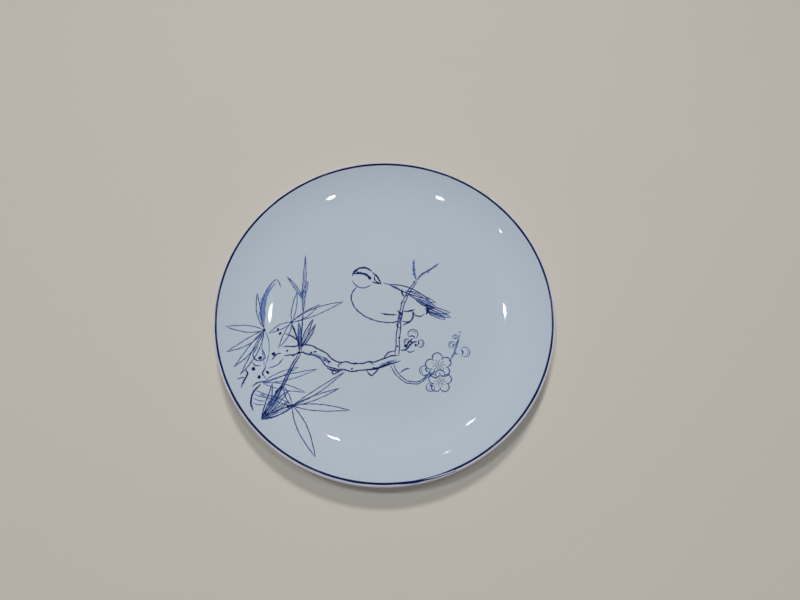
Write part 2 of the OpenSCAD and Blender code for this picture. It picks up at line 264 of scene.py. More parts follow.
class Nodes:
    """Short way to add and link shader nodes in one material."""

    def __init__(self, name):
        self.material = bpy.data.materials.new(name)
        self.material.use_nodes = True
        self.tree = self.material.node_tree
        self.tree.nodes.clear()

    def _feed(self, node, key, value):
        """Link a socket to the node's input, or set the input to a plain value."""
        if isinstance(value, bpy.types.NodeSocket):
            self.tree.links.new(value, node.inputs[key])
        else:
            node.inputs[key].default_value = value

    def add(self, kind, inputs=None, **settings):
        node = self.tree.nodes.new(kind)
        for key, value in settings.items():
            setattr(node, key, value)
        for key, value in (inputs or {}).items():
            self._feed(node, key, value)
        return node

    def math(self, operation, a, b=0.0, clamp=False):
        return self.add("ShaderNodeMath", {0: a, 1: b}, operation=operation, use_clamp=clamp).outputs[0]

    def mix(self, amount, a, b, blend="MIX"):
        node = self.add("ShaderNodeMix", {"Factor": amount}, data_type="RGBA", blend_type=blend)
        self._feed(node, MIX_A, a)
        self._feed(node, MIX_B, b)
        return node.outputs[MIX_RESULT]

    def ramp(self, value, stops):
        node = self.add("ShaderNodeValToRGB", {0: value})
        while len(node.color_ramp.elements) < len(stops):
            node.color_ramp.elements.new(0.5)
        for element, (at, colour) in zip(node.color_ramp.elements, stops):
            element.position = at
            element.color = colour
        return node.outputs[0]

    def spread(self, value, low, high, to_low=0.0, to_high=1.0):
        """Ease value from to_low, where it is low, to to_high, where it is high."""
        node = self.add("ShaderNodeMapRange", {0: value, 1: low, 2: high, 3: to_low, 4: to_high},
                        interpolation_type="SMOOTHSTEP")
        return node.outputs[0]

    def noise(self, where, scale, detail=3.0, roughness=0.55):
        return self.add("ShaderNodeTexNoise", {"Vector": where, "Scale": scale, "Detail": detail,
                                               "Roughness": roughness}).outputs[0]

    def surface(self, colour, roughness, normal, **extra):
        shader = self.add("ShaderNodeBsdfPrincipled", {"Base Color": colour, "Roughness": roughness,
                                                       "Normal": normal, **extra})
        output = self.add("ShaderNodeOutputMaterial")
        self.tree.links.new(shader.outputs[0], output.inputs[0])
        return self.material


def grey(value):
    return (value, value, value, 1)


GLAZE = (0.655, 0.75, 0.842, 1)
GLAZE_DEEP = (0.618, 0.735, 0.86, 1)
# Painted reflection: a lighter, bluer glaze colour on the wall, standing in for the room mirrored there
WALL_PAINTED_REFLECTION = (0.675, 0.785, 0.9, 1)
GLAZE_THIN = (0.84, 0.83, 0.95, 1)
SPECK = (0.20, 0.17, 0.14, 1)
COBALT_DARK = (0.0055, 0.0145, 0.095, 1)
COBALT_MID = (0.042, 0.090, 0.36, 1)
COBALT_PALE = (0.25, 0.37, 0.71, 1)
BISCUIT_DARK = (0.50, 0.46, 0.40, 1)
BISCUIT_LIGHT = (0.70, 0.67, 0.61, 1)
FOOT_STAIN = (0.30, 0.28, 0.26, 1)

# Where each tint of the glaze starts and where it is full, in metres; the wall's tint is a painted
# reflection, which makes the wall lighter and bluer.
# The wall and the pool outside the foot go by the distance from the axis, the pool's top by the height
# above the table.
WALL_REFLECTION_SPREAD = (0.074, 0.108)
LIP_TINT = ((PLATE_R - 2.6) * MM, (PLATE_R - 1.2) * MM)
LIP_UNEVEN = 0.0006
POOL_INNER = (0.0755, 0.0765)
POOL_OUTER = (0.0815, 0.0785)
POOL_TOP = (0.0055, 0.0045)
# Share of the glaze's cells that hold an iron speck, and the speck's edge in its cell
SPECKS_FROM = 0.985
SPECK_EDGE = (0.045, 0.02)
# Heights of the bumps that the materials make, in metres
RIPPLE_H = 0.00004
BISCUIT_GRAIN_H = 0.00005
GLAZE_IOR = 1.52


def speck_share(m, place):
    """1 in the rare iron specks of the glaze, 0 elsewhere."""
    cells = m.add("ShaderNodeTexVoronoi", {"Vector": place, "Scale": 210})
    chosen = m.add("ShaderNodeSeparateColor", {0: cells.outputs["Color"]})
    rare = m.math("GREATER_THAN", chosen.outputs[0], SPECKS_FROM)
    return m.math("MULTIPLY", rare, m.spread(cells.outputs["Distance"], *SPECK_EDGE), clamp=True)


def pool_share(m, radius, height):
    """1 where the glaze pools outside the foot, 0 elsewhere."""
    near_foot = m.math("MULTIPLY", m.spread(radius, *POOL_INNER), m.spread(radius, *POOL_OUTER))
    return m.math("MULTIPLY", near_foot, m.spread(height, *POOL_TOP))


def glaze_colour(m):
    """Bluish white that varies slowly, with a painted reflection that makes the wall lighter and bluer, a
    warmer thin lip, deeper pools and rare iron specks.
    """
    place = m.add("ShaderNodeTexCoord").outputs["Object"]
    parts = m.add("ShaderNodeSeparateXYZ", {0: place})
    flat = m.add("ShaderNodeCombineXYZ", {0: parts.outputs[0], 1: parts.outputs[1]})
    radius = m.add("ShaderNodeVectorMath", {0: flat.outputs[0]}, operation="LENGTH").outputs["Value"]
    cloud = m.noise(place, 16, 4)
    colour = m.mix(m.spread(cloud, 0.3, 0.7, 0.0, 0.35), GLAZE, GLAZE_DEEP)
    grain = m.noise(place, 900, 2)
    colour = m.mix(0.05, colour, m.ramp(grain, [(0.3, grey(0.45)), (0.7, grey(1))]), "MULTIPLY")
    # Painted reflection: the wall is painted lighter and bluer than the middle
    colour = m.mix(m.spread(radius, *WALL_REFLECTION_SPREAD, 0.0, 0.8), colour, WALL_PAINTED_REFLECTION)
    uneven = m.math("MULTIPLY", m.math("SUBTRACT", m.noise(place, 60, 2), 0.5), LIP_UNEVEN)
    colour = m.mix(m.spread(m.math("ADD", radius, uneven), *LIP_TINT), colour, GLAZE_THIN)
    pool = pool_share(m, radius, parts.outputs[2])
    colour = m.mix(m.math("MULTIPLY", pool, 0.8), colour, GLAZE_DEEP)
    return m.mix(m.math("MULTIPLY", speck_share(m, place), 0.6), colour, SPECK), place


def gloss(m, place):
    """Roughness and normal of a fired glaze: faint ripple, and slightly duller clouds."""
    roughness = m.spread(m.noise(place, 45, 3), 0.3, 0.75, 0.025, 0.05)
    height = m.noise(place, 130, 2)
    ripple = m.add("ShaderNodeBump", {"Height": height, "Strength": 0.12, "Distance": RIPPLE_H})
    return roughness, ripple.outputs[0]


def glaze_material():
    """Clear glaze over the white clay."""
    m = Nodes("fired_glaze")
    colour, place = glaze_colour(m)
    roughness, normal = gloss(m, place)
    return m.surface(colour, roughness, normal, IOR=GLAZE_IOR)


def cobalt_material():
    """Cobalt colour under the gloss. Each point's ink attribute says how much of it there is."""
    m = Nodes("fired_cobalt")
    colour, place = glaze_colour(m)
    ink = m.add("ShaderNodeAttribute", attribute_name="ink").outputs["Fac"]
    patchy = m.spread(m.noise(place, 420, 3, 0.65), 0.25, 0.75, 0.72, 1.18)
    pooled = m.spread(m.noise(place, 90, 2), 0.3, 0.7, 0.88, 1.1)
    amount = m.math("MULTIPLY", m.math("MULTIPLY", ink, patchy), pooled, clamp=True)
    colour = m.mix(m.spread(amount, 0.0, 0.30), colour, COBALT_PALE)
    colour = m.mix(m.spread(amount, 0.22, 0.55), colour, COBALT_MID)
    colour = m.mix(m.spread(amount, 0.42, 0.80), colour, COBALT_DARK)
    roughness, normal = gloss(m, place)
    return m.surface(colour, roughness, normal, IOR=GLAZE_IOR)


def biscuit_material():
    """Bare ceramic of the foot: fine sandy grain, ground smooth and a little grey where it stands."""
    m = Nodes("bare_biscuit")
    place = m.add("ShaderNodeTexCoord").outputs["Object"]
    height = m.add("ShaderNodeSeparateXYZ", {0: place}).outputs[2]
    grain = m.noise(place, 2600, 4, 0.7)
    colour = m.ramp(grain, [(0.3, BISCUIT_DARK), (0.6, BISCUIT_LIGHT)])
    stain = m.math("MULTIPLY", m.spread(height, 0.0004, 0.0), m.spread(m.noise(place, 120, 4), 0.45, 0.65))
    colour = m.mix(m.math("MULTIPLY", stain, 0.5), colour, FOOT_STAIN)
    bump = m.add("ShaderNodeBump", {"Height": grain, "Strength": 0.6, "Distance": BISCUIT_GRAIN_H})
    return m.surface(colour, m.spread(grain, 0.3, 0.7, 0.7, 0.92), bump.outputs[0])


# ---- Drawn pattern -------------------------------------------------------

SPAN_STEPS = 12
LINE_WEIGHT = 1.25
STROKE_STEP = 0.4
# Across a stroke, in half-widths, and the share of its ink there
ACROSS = np.array([-1.7, -1.15, -0.65, 0, 0.65, 1.15, 1.7])
ACROSS_INK = np.array([0, 0.3, 0.88, 1, 0.88, 0.3, 0])
# Ridge height in mm of a place with no ink and of a place with full ink, and the hidden depth below
RIDGE_LOW = 0.004
RIDGE_INK = 0.008
EDGE_DIP = -0.012
SUNK = -0.04


def unit(angle):
    """Unit vector at an angle in degrees."""
    return np.array([math.cos(math.radians(angle)), math.sin(math.radians(angle))])


def sideways(p):
    """Unit vectors square to the line p at each of its points, to its left."""
    d = np.gradient(p, axis=0)
    d /= np.linalg.norm(d, axis=1)[:, None]
    return np.column_stack([-d[:, 1], d[:, 0]])


def smooth(points):
    """Smooth curve through the points."""
    p = [np.array(q, float) for q in points]
    out = []
    for i in range(len(p) - 1):
        a, b, c, d = p[max(i - 1, 0)], p[i], p[i + 1], p[min(i + 2, len(p) - 1)]
        for k in range(SPAN_STEPS):
            t = k / SPAN_STEPS
            out.append((2 * b + (c - a) * t + (2 * a - 5 * b + 4 * c - d) * t ** 2
                        + (3 * b - a - 3 * c + d) * t ** 3) / 2)
    return np.array(out + [p[-1]])


def stroke(points, width, ink):
    """One line of the brush along the points."""
    return {"kind": "stroke", "points": np.asarray(points, float), "width": width, "ink": ink}


def pen(points, width, ink):
    """Smooth line through a few points."""
    return [stroke(smooth(points), width, ink)]


def swing(centre, r, a, b, width, ink):
    """Arc from angle a to angle b."""
    return [stroke(arc(centre, r, a, b, 40), width, ink)]


def oval(centre, r, tilt, a, b, width, ink):
    """Arc of an oval of half-lengths r, turned by tilt."""
    t = np.radians(np.linspace(a, b, 61))
    x, y = r[0] * np.cos(t), r[1] * np.sin(t)
    c, s = unit(tilt)
    return [stroke(np.column_stack([centre[0] + x * c - y * s, centre[1] + x * s + y * c]), width, ink)]


def dots(places, width, ink=1.0):
    """Small marks left by the tip of the brush."""
    return [{"kind": "dot", "at": np.array(c, float), "size": width / 2, "ink": ink} for c in places]


def wash(points, widths, ink):
    """Broad pale stroke of thin colour, with soft edges."""
    return [{"kind": "wash", "points": smooth(points), "widths": widths, "ink": ink}]


def leaf(base, angle, length, width, bow, line_w, ink, vein=0.0):
    """Two edges of a leaf that leaves base at an angle. bow bends it, as a share of its length."""
    u = unit(angle)
    v = np.array([-u[1], u[0]])
    s = np.linspace(0, 1, 41)
    bend = 4 * bow * length * s * (1 - s)
    half = width / 2 * np.sin(math.pi * s ** 0.85)
    along = np.array(base) + np.outer(length * s, u)
    out = [stroke(along + np.outer(bend + side * half, v), line_w, ink * (1 if side > 0 else 0.88))
           for side in (1, -1)]
    if vein:
        out.append(stroke((along + np.outer(bend, v))[:30], 0.7 * line_w, ink * vein))
    return out


def leaves(base, fan, line_w, ink, vein=0.0):
    """Leaves from one joint of the cane, each (angle, length, width, bow)."""
    return [mark for item in fan for mark in leaf(base, *item, line_w, ink, vein)]


def branch(middle, w0, w1, knots, line_w, ink):
    """Both outlines of a branch that narrows from w0 to w1 along its middle line, with knotty bark."""
    p = smooth(middle)
    n = len(p) - 1
    half = (w0 + (w1 - w0) * np.arange(n + 1) / n) / 2
    i = np.arange(n + 1) * 4 / SPAN_STEPS
    out = []
    for side in (1, -1):
        bumps = np.sin(np.radians(i * 73 + side * 50)) + 0.5 * np.sin(np.radians(i * 131 - side * 80))
        edge = side * half * (1 + knots * bumps)
        out.append(stroke(p + edge[:, None] * sideways(p), line_w, ink))
    return out


def blossom(centre, r, turn, ink):
    """Open five-petalled flower with a pair of stamens to each petal."""
    out = []
    for k in range(5):
        a = turn + 72 * k
        out += swing(centre + 0.93 * r * unit(a), 0.6 * r, a - 125, a + 125, 0.62, ink)
        for b in (a - 16, a + 16):
            stamen = line(centre + 0.16 * r * unit(b), centre + 0.6 * r * unit(b), 8)
            out.append(stroke(stamen, 0.3, 1.2 * ink))
            out += dots([centre + 0.66 * r * unit(b)], 0.6, 1.3 * ink)
    return out + dots([centre], 1.0, ink)


def bud(centre, r, turn, ink):
    """Closed bud with its cup at the back."""
    centre = np.array(centre)
    return (swing(centre, r, turn - 145, turn + 145, 0.5, ink)
            + swing(centre, 0.6 * r, turn - 80, turn + 60, 0.35, 0.8 * ink)
            + swing(centre - 0.9 * r * unit(turn), 0.55 * r, turn - 75, turn + 75, 0.75, 1.3 * ink))


def bird():
    """Songbird on the twig, looking back over its wing."""
    head, head_r, beak = (-20, 33.5), 9, (-4.5, 28.5)
    body, body_size, body_tilt = (-3.5, 12.7), (25.5, 16.6), -14
    marks = swing(head, head_r, 176, 40, 1.1, 0.88)
    marks += swing((-23, 25.5), 12, 116, 38, 1.45, 0.88)
    marks += swing(head, head_r, 196, 322, 0.6, 0.8)
    marks += dots([(-14.5, 33.5)], 2.0)
    marks += pen([(-28.5, 36), (-27, 38.5), (-24.5, 39.5)], 0.9, 0.95)
    marks += pen([(-13, 39), (-8.5, 35), beak], 0.95, 1.0)
    marks += pen([(-10.5, 36), (-10, 31.5), beak], 0.7, 0.9)
    marks += pen([(-12.5, 30), (-9, 29.3), beak], 0.8, 0.95)
    marks += oval(body, body_size, body_tilt, 154, 322, 0.7, 0.8)
    marks += oval(body, body_size, body_tilt, 98, 62, 0.65, 0.8)
    marks += leaf((2, 28.5), -20, 36, 5, 0.03, 0.65, 0.9)
    marks += leaves((15, 23.5), [(-20, 28, 4.6, 0), (-27, 31, 4.4, 0)], 0.5, 0.8)
    marks += pen([(27, 15.5), (33, 12), (40, 10)], 1.0, 1.0)
    marks += pen([(24, 16), (29, 12.5), (35, 9.5)], 0.8, 0.95)
    marks += leaves((32, 8.5), [(-7, 21, 4.6, 0), (-17, 22.5, 5, 0), (-27, 19, 4.4, 0)], 0.55, 0.85)
    marks += pen([(35, 6.5), (40, 4.5), (47, 3)], 0.55, 0.8)
    marks += pen([(32, 12.5), (34.5, 8), (33, 3.5)], 1.5, 1.0)
    marks += pen([(22, 6.5), (24, 3), (28, 1.8), (32, 4)], 0.7, 0.9)
    marks += pen([(14, 5.5), (19, 6), (24, 7.5)], 0.9, 1.0)
    marks += pen([(22, 6), (22.5, 1), (20, -3), (14, -6.5)], 0.85, 0.95)
    marks += pen([(13.5, -2.5), (17, -3.5), (20, -2.5)], 0.65, 0.85)
    marks += pen([(-4, 3.3), (2, 2.3), (9.5, 2.4)], 0.85, 1.0)
    for i in range(3):
        marks += pen([(9.5 + 1.4 * i, 6.5 - i), (11.5 + i, 3.8), (14.5, 1.5 + 1.6 * i)], 0.8, 1.0)
    marks += wash([(23, 18), (31, 14.5), (40, 11)], (2, 4.5, 2.5), 0.36)
    marks += wash([(33, 8), (41, 5), (52, 2.5)], (3, 6.5, 4.5), 0.22)
    return marks


def perch_twig():
    """Young twig that the bird holds, forked at the top."""
    marks = branch([(11, -32), (11, -20), (11.5, -8), (12.5, 4), (15, 15), (19, 24), (24.5, 33)],
                   3, 1.6, 0.12, 0.6, 0.8)
    marks += pen([(24.5, 33), (22.5, 38), (21.5, 45), (21.5, 52)], 1.3, 0.5)
    marks += pen([(24.5, 33), (29, 39), (35, 43), (43, 49.5)], 1.2, 0.52)
    marks += pen([(22.5, 38.5), (20, 38)], 0.5, 0.6)
    marks += pen([(33, 42), (34.5, 39.5)], 0.5, 0.5)
    marks += pen([(12.5, 25), (13, 21), (15, 18)], 0.95, 0.95)
    marks += swing((11.8, -6.5), 2.1, 60, 330, 0.55, 0.9)
    marks += swing((14, 12), 1.8, 200, 30, 0.5, 0.9)
    marks += dots([(12, -17), (11, -24), (12.4, -1), (17, 19.5), (22.5, 31.5)], 1.2)
    marks += wash([(23.5, 36), (22, 42), (21.7, 49)], (1.5, 3, 1), 0.4)
    marks += wash([(12.5, 6), (12, 0), (11.5, -6)], (2, 3.5, 2), 0.45)
    return marks


def old_branch():
    """Gnarled branch that carries the perch."""
    marks = branch([(-79, -33), (-66, -30), (-53, -31.5), (-40, -40.5), (-26, -42.5), (-12, -41.5),
                    (0, -38), (13, -33)], 7, 5.4, 0.15, 0.75, 0.95)
    marks += swing((-12, -45), 7, 118, 40, 0.6, 0.7)
    marks += pen([(-40, -44.5), (-38, -49), (-32.5, -45.5)], 0.75, 0.95)
    marks += pen([(-13, -44.5), (-8, -48.5), (-2, -41.5)], 0.75, 0.9)
    marks += pen([(0, -35.5), (4, -29.5), (10, -28)], 0.7, 0.85)
    marks += pen([(-47, -35.5), (-44, -37.5), (-42, -41)], 0.7, 0.9)
    marks += pen([(-44, -44), (-38, -46.2), (-31, -46)], 0.95, 1.0)
    marks += pen([(-12, -44.5), (-3, -42.3), (7, -38)], 1.15, 1.0)
    marks += pen([(-64, -31.5), (-59, -34), (-52, -34.5)], 0.6, 0.85)
    marks += swing((-21, -41), 1.8, 190, 20, 0.55, 0.85)
    marks += swing((-33.5, -42), 1.5, 20, 260, 0.55, 0.85)
    marks += dots([(-76, -32), (-71, -35.5), (-67, -33), (-57, -32.5), (-54, -31.5), (-46, -38), (-42, -39),
                   (-24, -44), (-7, -42.5), (4, -38)], 1.3)
    marks += wash([(-60, -32.5), (-48, -36), (-40, -43)], (2, 2.5, 2), 0.3)
    marks += wash([(-4, -41), (4, -38), (12, -34.5)], (2, 3, 2), 0.35)
    return marks


def blossom_spray():
    """Open flowers at the end of the side branch."""
    marks = branch([(7, -39), (12, -47), (20, -52.5), (29, -52.5), (37, -46)], 2.4, 1.2, 0.12, 0.55, 0.75)
    marks += pen([(14, -46), (17, -43), (22, -41.5)], 0.8, 0.65)
    marks += blossom(np.array([44, -38.5]), 6.8, 100, 0.72)
    marks += blossom(np.array([45.5, -51]), 6.0, 20, 0.68)
    marks += bud((33, -43), 3.8, 200, 0.75)
    marks += bud((38, -56), 3.4, 240, 0.6)
    marks += pen([(37, -46), (40, -44.5), (41.5, -42)], 0.7, 0.9)
    marks += wash([(31, -51), (35, -47.5), (39, -43)], (2, 3.5, 1.5), 0.3)
    return marks


def bud_sprigs():
    """Two sprigs of closed buds."""
    marks = pen([(52.5, -35), (56, -28), (58.5, -20), (60.5, -11.5)], 1.2, 0.42)
    marks += pen([(56.5, -28), (60, -28.5)], 0.6, 0.5)
    marks += bud((64.5, -26.5), 4, 10, 0.55)
    marks += bud((54.5, -21), 2.6, 150, 0.7)
    marks += bud((57, -14.5), 1.9, 110, 0.6)
    marks += dots([(60.8, -10), (57, -28), (53, -34)], 1.2, 0.6)
    marks += pen([(13, -27), (18, -26.5), (22, -20)], 0.9, 0.85)
    marks += pen([(18, -27.5), (21.5, -28.5), (25, -27)], 0.7, 0.75)
    marks += bud((23, -13.5), 4, 80, 0.85)
    marks += bud((29, -21), 3, 350, 0.85)
    marks += bud((18.5, -20), 2.4, 160, 0.9)
    marks += pen([(20, -24), (23, -20.5), (26.5, -19.5)], 1.1, 0.8)
    marks += pen([(17.5, -26.5), (19.5, -21), (23.5, -16.5)], 0.9, 0.8)
    marks += dots([(21.5, -19.5), (25.5, -22.5), (17, -23.5)], 1.5)
    marks += wash([(56, -27), (58, -21), (60, -14)], (1.5, 3, 1.5), 0.25)
    return marks


def bamboo_upper():
    """Bamboo shoots that rise from the branch."""
    marks = leaves((-75, -8), [(26, 45, 6, 0.02), (38, 27, 4.5, -0.03), (86, 27, 3.4, 0),
                               (250, 24, 4, 0.03), (213, 20, 4, -0.03)], 0.5, 0.75)
    marks += leaf((-66.5, 0), 93, 51, 2.6, 0, 0.5, 0.75, 0.7)
    marks += leaves((-68, 12), [(128, 24, 2.2, -0.04), (80, 17, 2.6, 0)], 0.5, 0.8, 0.6)
    marks += leaves((-65.5, -29), [(73, 26, 3, 0.02), (100, 22, 2.6, 0), (64, 23, 2.4, -0.03)],
                    0.6, 0.9, 0.6)
    marks += pen([(-66, -33), (-69, -22), (-75, -8.5)], 1, 0.8)
    marks += pen([(-65, -32), (-66, -20), (-66.5, 0)], 0.7, 0.8)
    marks += pen([(-67, -24), (-73, -20), (-79, -18)], 0.8, 0.95)
    marks += dots([(-66.5, -33), (-75, -8)], 1.8)
    marks += wash([(-66, -31), (-67, -20), (-68, -8)], (3, 3.5, 1.5), 0.38)
    marks += wash([(-68, 8), (-69, 18), (-69, 30)], (1.5, 2, 1), 0.4)
    return marks


def curled_leaves():
    """Bamboo joint near the rim, with one leaf that curls over."""
    joint = (-95.5, -16.5)
    marks = leaves(joint, [(184, 28, 5.5, 0), (223, 33, 4.5, 0.03), (243, 38, 4.2, 0.02),
                           (253, 41, 4, 0.03)], 0.5, 0.75)
    marks += leaf(joint, 278, 31, 5.5, 0.03, 0.5, 0.4)
    marks += pen([joint, (-99.5, -4), (-99, 10), (-95, 22), (-90, 27), (-86, 20)], 0.6, 0.6)
    marks += pen([joint, (-97, -4), (-97, 9), (-93.5, 20), (-90, 25.5)], 0.5, 0.5)
    marks += leaf((-97, -14), 104, 29, 3.2, 0.04, 0.5, 0.8)
    marks += dots([joint, (-85, -15), (-83, -18)], 1.8, 0.9)
    marks += wash([(-96, -14), (-98.5, -3), (-98.5, 9), (-95.5, 19), (-92, 25)], (4, 6.5, 6, 4, 2), 0.34)
    return marks


def rock_and_root():
    """Foot of the old tree, with bark marks and a bare root."""
    marks = pen([(-98, -30), (-101, -38), (-97, -42.5), (-92, -39), (-96, -31)], 0.6, 0.75)
    marks += pen([(-90, -46), (-92, -52), (-89, -56)], 0.7, 0.85)
    marks += pen([(-89, -48), (-82, -44), (-78, -38)], 0.6, 0.6)
    marks += pen([(-105, -50), (-102.5, -54), (-104, -60), (-105, -66)], 0.8, 0.9)
    marks += pen([(-103, -57), (-106, -58), (-109, -59.5)], 0.6, 0.85)
    marks += pen([(-92, -61), (-96, -68), (-96.5, -76), (-93.5, -83)], 0.9, 0.95)
    for i in range(4):
        marks += pen([(-95.5, -66 - 3.6 * i), (-90, -68 - 3.2 * i), (-86, -68.5 - 2.8 * i)], 0.5, 0.7)
    marks += pen([(-98, -64), (-94, -60), (-88, -58)], 0.7, 0.9)
    marks += pen([(-87, -41), (-84, -36), (-80, -34)], 0.7, 0.9)
    marks += pen([(-101, -44), (-98, -46.5), (-94, -46)], 0.6, 0.85)
    marks += dots([(-99, -49.5), (-94, -55.5), (-88.5, -51), (-86, -35.5), (-95.5, -40)], 2.1)
    return marks


def bamboo_lower():
    """Main cane of bamboo and its fans of leaves."""
    joint = (-67, -76)
    marks = []
    for side in (-0.9, 0.9):
        cane = [(-66 + side, -34), (-71 + side, -45), (-76 + side, -60), (-83 + side, -78)]
        marks += pen(cane, 0.7, 0.85)
    marks += leaves(joint, [(-1, 44, 5.2, 0.01), (38, 48, 3.2, -0.01), (25, 38, 3.6, 0), (-60, 44, 7, 0),
                            (212, 24, 3.2, 0.02), (165, 26, 3, -0.03), (118, 18, 3, 0.03)], 0.5, 0.8)
    marks += leaves((-87, -89), [(32, 27, 4, 0), (57, 30, 3.6, 0.03), (70, 33, 3.4, 0),
                                 (84, 30, 3.2, -0.03), (45, 24, 2.6, -0.02)], 0.6, 0.82, 0.6)
    marks += leaves((-91, -60), [(20, 43, 4.2, 0), (-8, 33, 4.6, 0.02), (31, 30, 3.6, 0.03)], 0.5, 0.65)
    marks += dots([joint, (-70, -77), (-80, -66), (-77, -62)], 1.9)
    marks += wash([(-68, -38), (-75, -58), (-82, -76)], (1.6, 2.4, 3), 0.35)
    marks += wash([(-85, -84), (-80, -74), (-76, -64)], (3, 7, 3), 0.28)
    marks += wash([(-71, -76.5), (-67, -76), (-63, -75.5)], (2, 4, 2), 0.6)
    return marks


MOTIFS = [bird, perch_twig, old_branch, blossom_spray, bud_sprigs, bamboo_upper, curled_leaves,
          rock_and_root, bamboo_lower]


def wander(s, chance, waves):
    """Smooth random curve along s in mm, about -1 to 1. waves are its wavelengths in mm."""
    total = sum(np.sin(2 * math.pi * (s / w * chance.uniform(0.8, 1.25) + chance.random())) for w in waves)
    return total / len(waves) ** 0.5


def evenly(points, step):
    """The same line with points a step apart, and their distances along it."""
    gaps = np.linalg.norm(np.diff(points, axis=0), axis=1)
    s = np.concatenate([[0], np.cumsum(gaps)])
    t = np.linspace(0, s[-1], max(3, math.ceil(s[-1] / step)) + 1)
    return np.column_stack([np.interp(t, s, points[:, 0]), np.interp(t, s, points[:, 1])]), t


def ridge_section(ink):
    """Height and ink at each place across a ridge, with the two hidden corners under its edges."""
    top = RIDGE_LOW + RIDGE_INK * ink
    top[:, [0, -1]] = EDGE_DIP
    hidden = np.full(len(ink), SUNK)
    return np.column_stack([top, hidden, hidden]), np.column_stack([ink, ink[:, -1], ink[:, 0]])


# A stroke thins over TIP mm at each end, or over a third of a short stroke, to these shares of its
# width and ink
TIP = 4
TIP_WIDTH = 0.14
TIP_INK = 0.72
# How far a stroke strays from its line, in mm, the shares by which its width and its ink vary,
# and the wavelengths of each in mm
SWAY = 0.10
SWAY_WAVES = (11, 5)
WIDTH_VARIES = 0.16
WIDTH_WAVES = (7, 3, 1.6)
LOAD_VARIES = 0.14
LOAD_WAVES = (9, 4, 1.9)
FULLEST = 1.15
# The same for a wash, with the share of its length over which it fades, and its places across
WASH_WIDTH_VARIES = 0.10
WASH_WIDTH_WAVES = (16, 8)
WASH_LOAD_VARIES = 0.12
WASH_LOAD_WAVES = (10, 4)
WASH_FADE = 0.25
WASH_PLACES = 13
# Points round a dot, and its rings: radius and ink, as shares of the dot's
DOT_AROUND = 14
DOT_RINGS = [(0.5, 1), (0.9, 0.92), (1.2, 0.3), (1.6, 0)]
DOT_FOOT = 1.2


